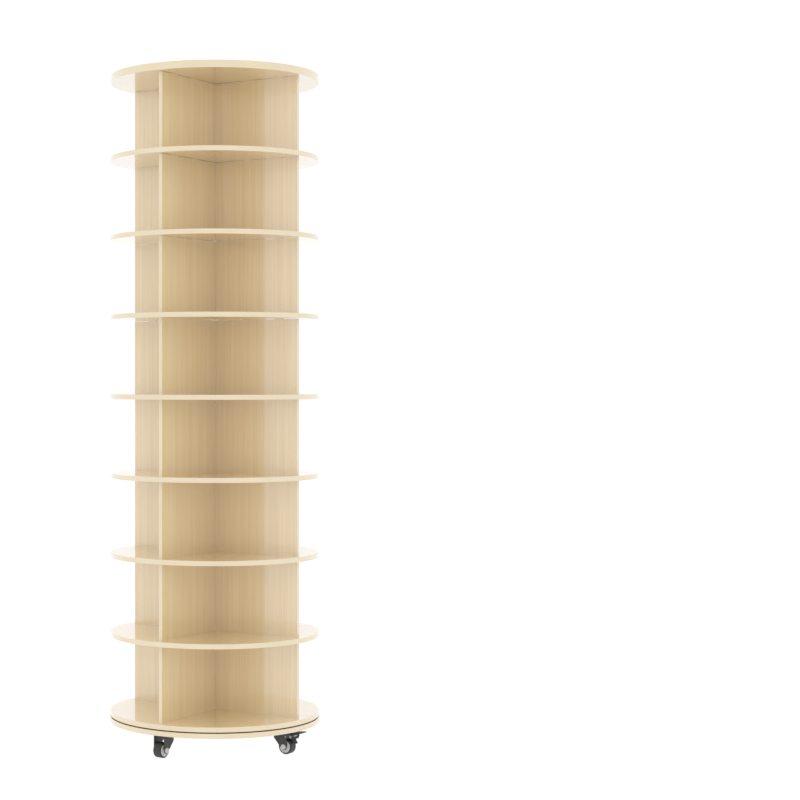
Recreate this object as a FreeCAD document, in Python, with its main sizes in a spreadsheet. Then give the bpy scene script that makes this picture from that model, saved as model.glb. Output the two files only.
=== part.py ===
import FreeCAD, Part
import os
import re
import Sketcher
from FreeCAD import Placement, Rotation, Vector

# A round shoe tower that turns on a low base with four swivel casters.
# Millimetres, +Z up, origin on the floor under the tower's axis.
# In each tier one upright board runs along Y, front to back, and one along X, side to side.

# Each size is written once here: its name, its value and what it measures.
SIZES = [
    ("disc_radius", 260, "radius of the shelf discs and the top over their edge band"),
    ("base_lip", 2, "how far the base disc stands out past the shelf discs"),
    ("band_thickness", 1, "thickness of every edge band"),
    ("band_trim", 0.05, "how far a disc's band is trimmed below its faces"),
    ("band_round", 0.5, "rounding of a band's outer corners"),
    ("shelf_thickness", 12, "thickness of the shelf discs and the turning disc"),
    ("top_thickness", 18, "thickness of the top disc"),
    ("base_thickness", 12, "thickness of the base disc"),
    ("tier_count", 8, "number of tiers"),
    ("tier_clear", 184.6, "clear height of a tier between two discs"),
    ("divider_thickness", 9, "thickness of the upright boards"),
    ("divider_inset", 19, "distance from a disc's rim in to a board's outer edge, over its band"),
    ("shoulder_gap", 0.5, "hairline left between a board's upper shoulder and the disc above it"),
    ("lap_clearance", 0.1, "play on each side of a board in the other board's slot"),
    ("mortise_depth", 4, "depth of the mortises in the discs"),
    ("tenon_width", 22, "length of a tenon along its board"),
    ("tenon_clearance", 0.1, "play on each side of a tenon in its mortise"),
    ("inner_tenon_ring", 96, "distance from the axis to the inner tenons"),
    ("outer_tenon_inset", 54, "distance from a board's outer edge in to its outer tenon's middle"),
    ("shelf_screw_diameter", 3.5, "shank diameter of the screws under the boards"),
    ("shelf_screw_head", 7, "head diameter of the screws under the boards"),
    ("shelf_screw_length", 40, "length of the screws under the boards"),
    ("screw_clearance", 0.05, "radial play of every screw and pin that stands still"),
    ("running_clearance", 0.05, "radial play of every pin that something turns on"),
    ("turntable_gap", 2.6, "gap between the base disc and the turning disc"),
    ("recess_depth", 3, "depth of the bearing's recess in each of the two discs"),
    ("recess_clearance", 0.5, "radial play of the bearing in its recess"),
    ("bearing_outer_radius", 100, "outer radius of the turntable bearing"),
    ("bearing_width", 30, "radial width of the turntable bearing over both of its rings"),
    ("bearing_flange", 3, "thickness of the bearing rings' screw flanges"),
    ("bearing_wall", 4.9, "radial thickness of the bearing rings at the race"),
    ("bearing_lift", 1, "axial gap between each bearing ring and the other disc"),
    ("race_opening", 1.6, "half of the radial gap between the two bearing rings"),
    ("race_clearance", 0.15, "play between a ball and its groove"),
    ("bearing_ball_diameter", 5, "diameter of the bearing's balls"),
    ("bearing_ball_count", 24, "number of balls in the bearing"),
    ("cage_thickness", 2.4, "radial thickness of the ball cage"),
    ("cage_height", 6.4, "height of the ball cage"),
    ("cage_play", 0.15, "play between a ball and its hole in the cage"),
    ("bearing_screw_diameter", 3, "shank diameter of the bearing screws"),
    ("bearing_screw_head", 6, "head diameter of the bearing screws"),
    ("bearing_screw_length", 9, "length of the bearing screws"),
    ("bearing_screw_angle", 45, "angle of the first bearing screw from the X axis"),
    ("access_hole_diameter", 16, "hole in the base disc for driving the upper bearing screws"),
    ("caster_height", 61, "height of the base disc's underside above the floor"),
    ("caster_turn", 3.5, "angle by which the four casters are turned from the boards"),
    ("caster_inset", 59, "distance from the base disc's rim in to the kingpins"),
    ("caster_trail", 15.5, "distance from the kingpin to the wheel's axle"),
    ("plate_width", 46, "side of the casters' square mounting plates"),
    ("plate_corner", 6, "corner radius of the mounting plates"),
    ("plate_thickness", 2.5, "thickness of the mounting plates"),
    ("race_boss_radius", 12.5, "radius of the two raised race bosses of a caster"),
    ("plate_boss_height", 1.5, "height of the race boss under the mounting plate"),
    ("swivel_gap", 1.4, "gap between the two race bosses of a caster"),
    ("fork_boss_height", 1.4, "height of the race boss on the fork's crown"),
    ("swivel_ball_diameter", 4, "diameter of a caster's swivel balls"),
    ("swivel_ball_ring", 8.5, "radius of the circle of a caster's swivel balls"),
    ("swivel_ball_count", 10, "number of swivel balls in a caster"),
    ("kingpin_diameter", 6, "shank diameter of the kingpins"),
    ("kingpin_head", 11, "diameter of the kingpins' countersunk heads"),
    ("kingpin_play", 0.15, "gap between a fork's crown and the kingpin's nut"),
    ("nut_width", 10, "width across flats of the kingpins' nuts"),
    ("nut_height", 4.5, "height of the kingpins' nuts"),
    ("caster_screw_spacing", 33, "spacing of the four screws of a mounting plate"),
    ("caster_screw_diameter", 4, "shank diameter of the caster screws"),
    ("caster_screw_head", 7.5, "head diameter of the caster screws"),
    ("caster_screw_head_height", 2.2, "head height of the caster screws"),
    ("caster_screw_grip", 9, "depth of the caster screws in the base disc"),
    ("fork_width", 32.6, "outer width of a fork over its two legs"),
    ("fork_thickness", 2.2, "sheet thickness of a fork"),
    ("fork_bend", 3, "outer bending radius of a fork"),
    ("fork_back", 13, "reach of a fork's crown from the kingpin, away from the wheel"),
    ("fork_boss", 8, "radius of a fork leg's round end about the axle"),
    ("fork_slope", 48.3, "slope of a fork leg's inner edge below the horizontal"),
    ("wheel_diameter", 38, "diameter of the wheels over their tyres"),
    ("tyre_width", 22.2, "width of the tyres"),
    ("tyre_shoulder", 3, "rounding of the tyres' shoulders"),
    ("hub_diameter", 29.4, "diameter of the hubs, where the tyres sit"),
    ("hub_rim_width", 22.8, "width of the hubs at the rim"),
    ("hub_rim_thickness", 2.25, "radial thickness of the hubs' rim"),
    ("hub_web_width", 20.6, "width of the hubs in their side grooves"),
    ("hub_boss_diameter", 13, "diameter of the hubs' central bosses"),
    ("hub_side_play", 0.3, "gap between a hub's boss and each fork leg"),
    ("axle_diameter", 6, "diameter of the wheel axles"),
    ("axle_cap_diameter", 13.2, "diameter of the axles' round caps"),
    ("axle_cap_thickness", 3.2, "thickness of the axles' caps"),
    ("cap_round", 1.1, "rounding of the caps of axles and brake pins"),
    ("brake_pin_reach", 36, "distance from the kingpin to the brake's pin"),
    ("brake_pin_drop", 15.5, "drop of the brake's pin below the base disc"),
    ("brake_pin_diameter", 4, "diameter of the brake's pin"),
    ("brake_pin_head", 7, "diameter of the brake pin's heads"),
    ("brake_pin_head_thickness", 1.6, "thickness of the brake pin's heads"),
    ("ear_radius", 4.5, "radius of a braked fork's ears about the brake pin"),
    ("ear_rise", 4, "height of the ears' straight outer edge above the brake pin"),
    ("brake_travel", 28, "angle through which the pedal turns, in degrees"),
    ("brake_clearance", 0.3, "gap that the pressed brake's shoe leaves to the tyre"),
    ("lever_side_play", 0.4, "gap between the lever and each fork leg"),
    ("lever_barrel_radius", 3.5, "radius of the lever's barrel on its pin"),
    ("lever_neck", 5, "thickness of the lever's neck between barrel and pedal"),
    ("pedal_reach", 63, "distance from the kingpin to the pedal's tip"),
    ("pedal_width", 26, "width of the pedal"),
    ("pedal_thickness", 2.5, "thickness of the pedal"),
    ("pedal_root_drop", 6.8, "drop of the pedal's root below the base disc"),
    ("pedal_tip_drop", 3.4, "drop of the pedal's tip below the base disc"),
    ("pedal_root_reach", 30, "distance from the kingpin to the pedal's root"),
    ("pedal_flare_reach", 41, "distance from the kingpin to where the pedal is full width"),
    ("shoe_width", 12, "width of the brake's shoe rib"),
    ("shoe_first_angle", 85, "angle where the shoe's curved face starts"),
    ("shoe_last_angle", 51, "angle of the shoe's tip"),
    ("block_reach", 40.8, "distance from the kingpin to the outer face of the brake's block"),
    ("block_back", 3, "reach of the block behind the brake pin"),
    ("block_drop", 7, "drop of the block's lower edge below the brake pin"),
    ("block_round", 1.6, "rounding of the block's lower outer edge"),
    ("spring_room_radius", 3.6, "radius of the spring's room in the block, about the brake pin"),
    ("spring_room_width", 19, "width of the spring's room and its window"),
    ("window_rise", 2.7, "height of the window's upper edge above the brake pin"),
    ("window_drop", 1.2, "drop of the window's lower edge below the brake pin"),
    ("claw_reach", 37.5, "distance from the kingpin to the notch between block and shoe tip"),
    ("claw_drop", 9, "drop of the notch between block and shoe tip below the brake pin"),
]

document = FreeCAD.newDocument("ShoeTower")
sheet = document.addObject("Spreadsheet::Sheet", "Sizes")
for row, (alias, size, meaning) in enumerate(SIZES, start=1):
    sheet.set(f"A{row}", meaning)
    sheet.set(f"B{row}", str(size))
    sheet.setAlias(f"B{row}", alias)
document.recompute()

# Lengths and heights that follow from the sizes. All of them are formulas over the sheet.
BASE_RADIUS = "(disc_radius + base_lip)"
DIVIDER_REACH = "(disc_radius - divider_inset)"
OUTER_TENON_RING = f"({DIVIDER_REACH} - outer_tenon_inset)"
SHELF_SCREW_RING = f"((inner_tenon_ring + {OUTER_TENON_RING}) / 2)"
KINGPIN_RING = f"({BASE_RADIUS} - caster_inset)"
BEARING_INNER_RADIUS = "(bearing_outer_radius - bearing_width)"
RACE_RADIUS = "(bearing_outer_radius - bearing_width / 2)"
PITCH = "(tier_clear + shelf_thickness)"
BASE_TOP = "(caster_height + base_thickness)"
TURNING_BOTTOM = f"({BASE_TOP} + turntable_gap)"
TOWER_TOP = f"({TURNING_BOTTOM} + tier_count * {PITCH})"
BOARD_HEIGHT = "(tier_clear - shoulder_gap)"
BOARD_END = f"({DIVIDER_REACH} - band_thickness)"
BEARING_BOTTOM = f"({BASE_TOP} - recess_depth)"
BEARING_HEIGHT = "(turntable_gap + 2 * recess_depth)"
OUTER_RACE_FACE = f"({RACE_RADIUS} + race_opening)"
INNER_RACE_FACE = f"({RACE_RADIUS} - race_opening)"
OUTER_SCREW_RING = f"(({OUTER_RACE_FACE} + bearing_wall + bearing_outer_radius) / 2)"
INNER_SCREW_RING = f"(({INNER_RACE_FACE} - bearing_wall + {BEARING_INNER_RADIUS}) / 2)"
BEARING_BALL_RADIUS = "(bearing_ball_diameter / 2)"
PLATE_BOTTOM = "(caster_height - plate_thickness)"
PLATE_BOSS_BOTTOM = f"({PLATE_BOTTOM} - plate_boss_height)"
FORK_BOSS_TOP = f"({PLATE_BOSS_BOTTOM} - swivel_gap)"
SWIVEL_BALL_HEIGHT = f"({FORK_BOSS_TOP} + swivel_gap / 2)"
CROWN_TOP = f"({FORK_BOSS_TOP} - fork_boss_height)"
CROWN_BOTTOM = f"({CROWN_TOP} - fork_thickness)"
WHEEL_RADIUS = "(wheel_diameter / 2)"
FORK_FRONT = "(caster_trail + fork_boss)"
FORK_INSIDE = "(fork_width / 2 - fork_thickness)"
EAR_REACH = "(brake_pin_reach + ear_radius)"
BRAKE_PIN_HEIGHT = "(caster_height - brake_pin_drop)"


def formula(text):
    """Point every size named in a text at its cell in the sheet."""
    return re.sub(r"\b[a-z]+(?:_[a-z]+)+\b", r"Sizes.\g<0>", text)


def value(text):
    """The number that a formula gives."""
    return float(sheet.evalExpression(formula(text)))


def bind(piece, prop, text):
    """Tie a property of an object to a formula."""
    piece.setExpression(prop, formula(text))


def turned(x, y, angle):
    """The formulas of a point after a turn about the origin."""
    return f"(({x}) * cos({angle}) - ({y}) * sin({angle}))", f"(({x}) * sin({angle}) + ({y}) * cos({angle}))"


def new_body(label, x="0", y="0", z="0", turn="0"):
    """An empty body that stands at a place of its own and is turned about +Z."""
    piece = document.addObject("PartDesign::Body", label)
    piece.Placement = Placement(Vector(0, 0, 0), Rotation(Vector(0, 0, 1), 1))
    bind(piece, "Placement.Base.x", x)
    bind(piece, "Placement.Base.y", y)
    bind(piece, "Placement.Base.z", z)
    bind(piece, "Placement.Rotation.Angle", turn)
    return piece


def origin_feature(piece, role):
    """One of a body's own origin planes and axes."""
    return [feature for feature in piece.Origin.OriginFeatures if feature.Role == role][0]


def sketch_on(piece, name, role, offset="0", shift="0"):
    """A sketch on an origin plane of its body, moved along the normal and along its own x."""
    sketch = piece.newObject("Sketcher::SketchObject", name)
    sketch.AttachmentSupport = [(origin_feature(piece, role), "")]
    sketch.MapMode = "FlatFace"
    bind(sketch, "AttachmentOffset.Base.z", offset)
    bind(sketch, "AttachmentOffset.Base.x", shift)
    return sketch


def hold(sketch, edge, point, x, y):
    """Hold one point of a sketch at two formulas, measured from the sketch's origin."""
    for kind, axis, text in (("DistanceX", -2, x), ("DistanceY", -1, y)):
        if text == "0":
            sketch.addConstraint(Sketcher.Constraint("PointOnObject", edge, point, axis))
        else:
            number = sketch.addConstraint(Sketcher.Constraint(kind, -1, 1, edge, point, value(text)))
            bind(sketch, f"Constraints[{number}]", text)


def bind_radius(sketch, edge, radius):
    """Give a circle or an arc its radius."""
    number = sketch.addConstraint(Sketcher.Constraint("Radius", edge, value(radius)))
    bind(sketch, f"Constraints[{number}]", radius)


def circle(sketch, x, y, radius):
    """A circle about a point."""
    centre = Vector(value(x), value(y), 0)
    edge = sketch.addGeometry(Part.Circle(centre, Vector(0, 0, 1), value(radius)), False)
    hold(sketch, edge, 3, x, y)
    bind_radius(sketch, edge, radius)


def outline(sketch, corners):
    """A closed outline. A third entry in a corner makes the edge that leaves it an arc.

    The third entry holds the arc's centre x, centre y and radius.
    """
    points = [Vector(value(corner[0]), value(corner[1]), 0) for corner in corners]
    ends = []
    for number, corner in enumerate(corners):
        start = points[number]
        finish = points[(number + 1) % len(points)]
        if len(corner) == 2:
            edge = sketch.addGeometry(Part.LineSegment(start, finish), False)
            ends.append((edge, 1, 2))
            continue
        centre = Vector(value(corner[2][0]), value(corner[2][1]), 0)
        outward = (start - centre).normalize() + (finish - centre).normalize()
        middle = centre + outward.normalize() * value(corner[2][2])
        edge = sketch.addGeometry(Part.Arc(start, middle, finish), False)
        forward = sketch.getPoint(edge, 1).isEqual(start, 1e-6)
        ends.append((edge, 1, 2) if forward else (edge, 2, 1))
    for number, corner in enumerate(corners):
        edge, first, last = ends[number]
        next_edge, next_first, _ = ends[(number + 1) % len(ends)]
        sketch.addConstraint(Sketcher.Constraint("Coincident", edge, last, next_edge, next_first))
        hold(sketch, edge, first, corner[0], corner[1])
        if len(corner) == 3:
            bind_radius(sketch, edge, corner[2][2])


def rectangle(sketch, x_low, y_low, x_high, y_high):
    """A rectangle between two corners."""
    outline(sketch, [(x_low, y_low), (x_high, y_low), (x_high, y_high), (x_low, y_high)])


def pad(piece, name, profile, length, symmetric=False, backward=False):
    """Extrude a sketch along its normal."""
    feature = piece.newObject("PartDesign::Pad", name)
    feature.Profile = profile
    feature.SideType = "Symmetric" if symmetric else "One side"
    feature.Reversed = backward
    bind(feature, "Length", length)
    return feature


def pocket(piece, name, profile, depth, symmetric=False, upward=False):
    """Cut a sketch into the piece, against the sketch's normal or, upward, along it."""
    feature = piece.newObject("PartDesign::Pocket", name)
    feature.Profile = profile
    feature.SideType = "Symmetric" if symmetric else "One side"
    feature.Reversed = upward
    bind(feature, "Length", depth)
    return feature


def revolve(piece, name, profile, axis):
    """Turn a sketch once round one of its own axes."""
    feature = piece.newObject("PartDesign::Revolution", name)
    feature.Profile = profile
    feature.ReferenceAxis = (profile, [axis])
    feature.Angle = 360
    return feature


def countersunk_hole(piece, name, profile, diameter, head, upward):
    """A countersunk hole through everything, widest at the sketch."""
    document.recompute()
    feature = piece.newObject("PartDesign::Hole", name)
    feature.Profile = profile
    feature.ThreadType = "None"
    feature.DepthType = "ThroughAll"
    feature.HoleCutType = "Countersink"
    feature.HoleCutCustomValues = True
    feature.HoleCutCountersinkAngle = 90
    feature.Reversed = upward
    bind(feature, "Diameter", f"{diameter} + 2 * screw_clearance")
    bind(feature, "HoleCutDiameter", f"{head} + 2 * screw_clearance")
    return feature


def primitive(piece, kind, name, x, y, z, sizes):
    """A PartDesign solid such as AdditiveCylinder, standing at a point, with its sizes bound."""
    feature = piece.newObject(f"PartDesign::{kind}", name)
    bind(feature, "Placement.Base.x", x)
    bind(feature, "Placement.Base.y", y)
    bind(feature, "Placement.Base.z", z)
    for prop, text in sizes.items():
        bind(feature, prop, text)
    return feature


def polar(piece, name, features, count, axis=None):
    """Repeat features evenly round the body's Z axis and make that the body's result."""
    pattern = piece.newObject("PartDesign::PolarPattern", name)
    pattern.Originals = features
    pattern.Axis = axis or (origin_feature(piece, "Z_Axis"), [""])
    pattern.Angle = 360
    bind(pattern, "Occurrences", count)
    piece.Tip = pattern
    return pattern


def repeat_upward(pattern, piece):
    """Make a linear pattern climb one step per tier."""
    pattern.Direction = (origin_feature(piece, "Z_Axis"), [""])
    bind(pattern, "Length", f"(tier_count - 1) * {PITCH}")
    bind(pattern, "Occurrences", "tier_count")


def four_in_every_tier(piece, name, features):
    """Repeat features on the four arms of the cross in every tier."""
    arms = document.addObject("PartDesign::PolarPattern", f"{name}_arms")
    arms.Axis = (origin_feature(piece, "Z_Axis"), [""])
    arms.Angle = 360
    arms.Occurrences = 4
    tiers = document.addObject("PartDesign::LinearPattern", f"{name}_tiers")
    repeat_upward(tiers, piece)
    pattern = piece.newObject("PartDesign::MultiTransform", name)
    pattern.Originals = features
    pattern.Transformations = [arms, tiers]
    piece.Tip = pattern


def fillet(piece, name, base, radius, wanted):
    """Round the edges of a feature that a test picks."""
    document.recompute()
    edges = [f"Edge{number}" for number, edge in enumerate(base.Shape.Edges, start=1) if wanted(edge)]
    feature = piece.newObject("PartDesign::Fillet", name)
    feature.Base = (base, edges)
    bind(feature, "Radius", radius)
    piece.Tip = feature
    return feature


def disc_height(number):
    """Underside of a disc of the tower: 0 is the turning disc, 1 the shelf above it, and so on."""
    return f"({TURNING_BOTTOM} + {number} * {PITCH})"


# Discs

def disc(label, height, radius, thickness):
    """A round board without its edge band."""
    piece = new_body(label, z=height)
    face = sketch_on(piece, f"{label}_round", "XY_Plane")
    circle(face, "0", "0", f"{radius} - band_thickness")
    pad(piece, f"{label}_board", face, thickness)
    return piece


def mortises(piece, name, level, upward):
    """The two mortises of one arm of the cross, cut from a face of a disc."""
    mouths = sketch_on(piece, f"{name}_mouths", "XY_Plane", offset=level)
    half_width = "(divider_thickness / 2 + tenon_clearance)"
    half_length = "(tenon_width / 2 + tenon_clearance)"
    for ring in ("inner_tenon_ring", OUTER_TENON_RING):
        rectangle(mouths, f"{ring} - {half_length}", f"-{half_width}", f"{ring} + {half_length}", half_width)
    return pocket(piece, name, mouths, "mortise_depth", upward=upward)


def board_screw_hole(piece, name):
    """The hole of one arm's screw, countersunk in a disc's underside."""
    mouth = sketch_on(piece, f"{name}_mouth", "XY_Plane")
    circle(mouth, SHELF_SCREW_RING, "0", "shelf_screw_diameter / 2 + screw_clearance")
    return countersunk_hole(piece, name, mouth, "shelf_screw_diameter", "shelf_screw_head", upward=True)


def bearing_screw_pilots(piece, name, level, ring, upward):
    """One pilot hole for a bearing screw in the bottom of a recess."""
    mouth = sketch_on(piece, f"{name}_mouth", "XY_Plane", offset=level)
    x, y = turned(ring, "0", "bearing_screw_angle")
    circle(mouth, x, y, "bearing_screw_diameter / 2 + screw_clearance")
    return pocket(piece, name, mouth, "bearing_screw_length - bearing_flange", upward=upward)


def bearing_recess(piece, name, level, upward):
    """The round recess that the bearing sits in."""
    rim = sketch_on(piece, f"{name}_rim", "XY_Plane", offset=level)
    circle(rim, "0", "0", "bearing_outer_radius + recess_clearance")
    pocket(piece, name, rim, "recess_depth", upward=upward)


def top_disc():
    """The thick top board, with mortises in its underside only."""
    piece = disc("top_disc", TOWER_TOP, "disc_radius", "top_thickness")
    seats = mortises(piece, "top_seats", "0", upward=True)
    polar(piece, "top_arms", [seats], "4")


def shelf_disc(number):
    """A shelf with mortises in both faces and screws up into the cross above it."""
    label = f"shelf_disc_{number}"
    piece = disc(label, disc_height(number), "disc_radius", "shelf_thickness")
    lower = mortises(piece, f"{label}_lower_seats", "0", upward=True)
    upper = mortises(piece, f"{label}_upper_seats", "shelf_thickness", upward=False)
    screw = board_screw_hole(piece, f"{label}_screw")
    polar(piece, f"{label}_arms", [lower, upper, screw], "4")


def turning_disc():
    """The tower's lowest disc, which the bearing carries."""
    piece = disc("turning_disc", TURNING_BOTTOM, "disc_radius", "shelf_thickness")
    bearing_recess(piece, "turning_recess", "0", upward=True)
    upper = mortises(piece, "turning_seats", "shelf_thickness", upward=False)
    screw = board_screw_hole(piece, "turning_screw")
    pilot = bearing_screw_pilots(piece, "turning_pilot", "recess_depth", INNER_SCREW_RING, upward=True)
    polar(piece, "turning_arms", [upper, screw, pilot], "4")


def caster_screw_circles(sketch, radius):
    """The four screw places of the first caster plate, round a kingpin on the sketch's x axis."""
    for across in ("-caster_screw_spacing / 2", "caster_screw_spacing / 2"):
        for along in ("-caster_screw_spacing / 2", "caster_screw_spacing / 2"):
            circle(sketch, f"{KINGPIN_RING} + {along}", across, radius)


def base_disc():
    """The standing disc, with the bearing's recess, an access hole and the casters' screw holes."""
    piece = disc("base_disc", "caster_height", BASE_RADIUS, "base_thickness")
    bearing_recess(piece, "base_recess", "base_thickness", upward=False)
    access = sketch_on(piece, "access_mouth", "XY_Plane")
    circle(access, INNER_SCREW_RING, "0", "access_hole_diameter / 2")
    pocket(piece, "access_hole", access, "base_thickness", upward=True)
    floor = "base_thickness - recess_depth"
    bearing_pilot = bearing_screw_pilots(piece, "base_pilot", floor, OUTER_SCREW_RING, upward=False)
    mouths = sketch_on(piece, "caster_pilot_mouths", "XY_Plane")
    mouths.AttachmentOffset = Placement(Vector(0, 0, 0), Rotation(Vector(0, 0, 1), -1))
    bind(mouths, "AttachmentOffset.Rotation.Angle", "-caster_turn")
    caster_screw_circles(mouths, "caster_screw_diameter / 2 + screw_clearance")
    caster_pilots = pocket(piece, "caster_pilots", mouths, "caster_screw_grip", upward=True)
    polar(piece, "base_quarters", [bearing_pilot, caster_pilots], "4")


# Edge bands

def band_profile(sketch, radius, bottom, thickness):
    """Section of a disc's edge band, rounded at its outer corners."""
    inner = f"({radius} - band_thickness)"
    shoulder = f"({radius} - band_round)"
    low = f"({bottom} + band_trim)"
    high = f"({bottom} + {thickness} - band_trim)"
    outline(sketch, [
        (inner, low),
        (shoulder, low, (shoulder, f"{low} + band_round", "band_round")),
        (radius, f"{low} + band_round"),
        (radius, f"{high} - band_round", (shoulder, f"{high} - band_round", "band_round")),
        (shoulder, high),
        (inner, high),
    ])


def disc_edge_bands():
    """The bands round the turning disc, the shelves and the top, as separate rings."""
    piece = new_body("disc_edge_bands", z=TURNING_BOTTOM)
    shelf = sketch_on(piece, "shelf_band_section", "XZ_Plane")
    band_profile(shelf, "disc_radius", "0", "shelf_thickness")
    ring = revolve(piece, "shelf_band", shelf, "V_Axis")
    bands = piece.newObject("PartDesign::LinearPattern", "shelf_bands")
    bands.Originals = [ring]
    repeat_upward(bands, piece)
    piece.Tip = bands
    top = sketch_on(piece, "top_band_section", "XZ_Plane")
    band_profile(top, "disc_radius", f"(tier_count * {PITCH})", "top_thickness")
    revolve(piece, "top_band", top, "V_Axis")


def base_edge_band():
    """The band round the base disc."""
    piece = new_body("base_edge_band", z="caster_height")
    section = sketch_on(piece, "base_band_section", "XZ_Plane")
    band_profile(section, BASE_RADIUS, "0", "base_thickness")
    revolve(piece, "base_band", section, "V_Axis")


def divider_edge_bands():
    """The upright bands on the outer edges of all the boards."""
    piece = new_body("divider_edge_bands", z=f"{TURNING_BOTTOM} + shelf_thickness")
    half = "(divider_thickness / 2)"
    shoulder = f"({DIVIDER_REACH} - band_round)"
    section = sketch_on(piece, "divider_band_section", "XY_Plane")
    outline(section, [
        (BOARD_END, f"-{half}"),
        (shoulder, f"-{half}", (shoulder, f"band_round - {half}", "band_round")),
        (DIVIDER_REACH, f"band_round - {half}"),
        (DIVIDER_REACH, f"{half} - band_round", (shoulder, f"{half} - band_round", "band_round")),
        (shoulder, half),
        (BOARD_END, half),
    ])
    strip = pad(piece, "divider_band", section, BOARD_HEIGHT)
    four_in_every_tier(piece, "divider_bands", [strip])


# Upright boards

def divider(label, tier, turn, slot_low, slot_high):
    """One board of a cross, with tenons above and below and a half-height slot at the middle."""
    piece = new_body(label, z=f"{disc_height(tier)} + shelf_thickness", turn=turn)
    face = sketch_on(piece, f"{label}_face", "XZ_Plane")
    rectangle(face, f"-{BOARD_END}", "0", BOARD_END, BOARD_HEIGHT)
    pad(piece, f"{label}_board", face, "divider_thickness", symmetric=True)
    tongues = sketch_on(piece, f"{label}_tongues", "XZ_Plane")
    for side in ("", "-"):
        for ring in ("inner_tenon_ring", OUTER_TENON_RING):
            near = f"({ring} - tenon_width / 2)"
            far = f"({ring} + tenon_width / 2)"
            rectangle(tongues, side + near, "-mortise_depth", side + far, "tier_clear + mortise_depth")
    pad(piece, f"{label}_tenons", tongues, "divider_thickness", symmetric=True)
    half_slot = "(divider_thickness / 2 + lap_clearance)"
    mouth = sketch_on(piece, f"{label}_slot_side", "XZ_Plane")
    rectangle(mouth, f"-{half_slot}", slot_low, half_slot, slot_high)
    pocket(piece, f"{label}_slot", mouth, "divider_thickness", symmetric=True)
    pilots = sketch_on(piece, f"{label}_pilot_mouths", "XY_Plane")
    for side in ("", "-"):
        circle(pilots, f"{side}{SHELF_SCREW_RING}", "0", "shelf_screw_diameter / 2 + screw_clearance")
    depth = "shelf_screw_length - shelf_thickness"
    pocket(piece, f"{label}_pilots", pilots, depth, upward=True)


def cross(tier):
    """The two slotted boards that stand in one tier, counted from the bottom."""
    middle = f"({BOARD_HEIGHT} / 2)"
    divider(f"divider_front_back_{tier + 1}", tier, "90", middle, BOARD_HEIGHT)
    divider(f"divider_side_side_{tier + 1}", tier, "0", "0", middle)


def shelf_screws():
    """Countersunk screws from the underside of each disc up into the boards above it."""
    piece = new_body("shelf_screws", z=TURNING_BOTTOM)
    cone_height = "(shelf_screw_head - shelf_screw_diameter) / 2"
    radius = "shelf_screw_diameter / 2"
    at = (SHELF_SCREW_RING, "0", "0")
    head = primitive(piece, "AdditiveCone", "shelf_screw_cone", *at, {
        "Radius1": "shelf_screw_head / 2", "Radius2": radius, "Height": cone_height})
    shank = primitive(piece, "AdditiveCylinder", "shelf_screw_shank", *at, {
        "Radius": radius, "Height": "shelf_screw_length"})
    four_in_every_tier(piece, "all_shelf_screws", [head, shank])


# Turntable bearing: two flanged rings with a ring of caged balls between them

def ball_groove(piece, name, ball_height):
    """Cut the round groove of the bearing's balls."""
    section = sketch_on(piece, f"{name}_section", "XZ_Plane")
    circle(section, RACE_RADIUS, ball_height, f"{BEARING_BALL_RADIUS} + race_clearance")
    feature = piece.newObject("PartDesign::Groove", name)
    feature.Profile = section
    feature.ReferenceAxis = (section, ["V_Axis"])
    feature.Angle = 360


def bearing_ring(
        label, race_face, race_back, flange_edge, race_low, race_high, flange_low, screw_ring, upward):
    """A bearing ring: a race wall, a thin flange and four countersunk screw holes."""
    piece = new_body(label, z=BEARING_BOTTOM, turn="bearing_screw_angle")
    wall = sketch_on(piece, f"{label}_wall_section", "XZ_Plane")
    rectangle(wall, race_face, race_low, race_back, race_high)
    revolve(piece, f"{label}_wall", wall, "V_Axis")
    flange = sketch_on(piece, f"{label}_flange_section", "XZ_Plane")
    rectangle(flange, race_back, flange_low, flange_edge, f"{flange_low} + bearing_flange")
    revolve(piece, f"{label}_flange", flange, "V_Axis")
    ball_groove(piece, f"{label}_groove", f"{BEARING_HEIGHT} / 2")
    level = flange_low if upward else f"{flange_low} + bearing_flange"
    mouth = sketch_on(piece, f"{label}_screw_mouth", "XY_Plane", offset=level)
    circle(mouth, screw_ring, "0", "bearing_screw_diameter / 2 + screw_clearance")
    hole = countersunk_hole(
        piece, f"{label}_hole", mouth, "bearing_screw_diameter", "bearing_screw_head", upward)
    polar(piece, f"{label}_holes", [hole], "4")


def bearing_rings():
    """The outer ring stands on the base disc and the inner ring hangs from the turning disc."""
    bearing_ring(
        "bearing_outer_ring", OUTER_RACE_FACE, f"({OUTER_RACE_FACE} + bearing_wall)", "bearing_outer_radius",
        "0", f"{BEARING_HEIGHT} - bearing_lift", "0", OUTER_SCREW_RING, upward=False)
    bearing_ring(
        "bearing_inner_ring", INNER_RACE_FACE, f"({INNER_RACE_FACE} - bearing_wall)", BEARING_INNER_RADIUS,
        "bearing_lift", BEARING_HEIGHT, f"({BEARING_HEIGHT} - bearing_flange)", INNER_SCREW_RING, upward=True)


def bearing_balls():
    """The bearing's ring of balls."""
    piece = new_body("bearing_balls", z=BEARING_BOTTOM)
    middle = f"{BEARING_HEIGHT} / 2"
    first = (RACE_RADIUS, "0", middle)
    ball = primitive(piece, "AdditiveSphere", "bearing_ball", *first, {"Radius": BEARING_BALL_RADIUS})
    polar(piece, "bearing_ball_ring", [ball], "bearing_ball_count")


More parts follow.
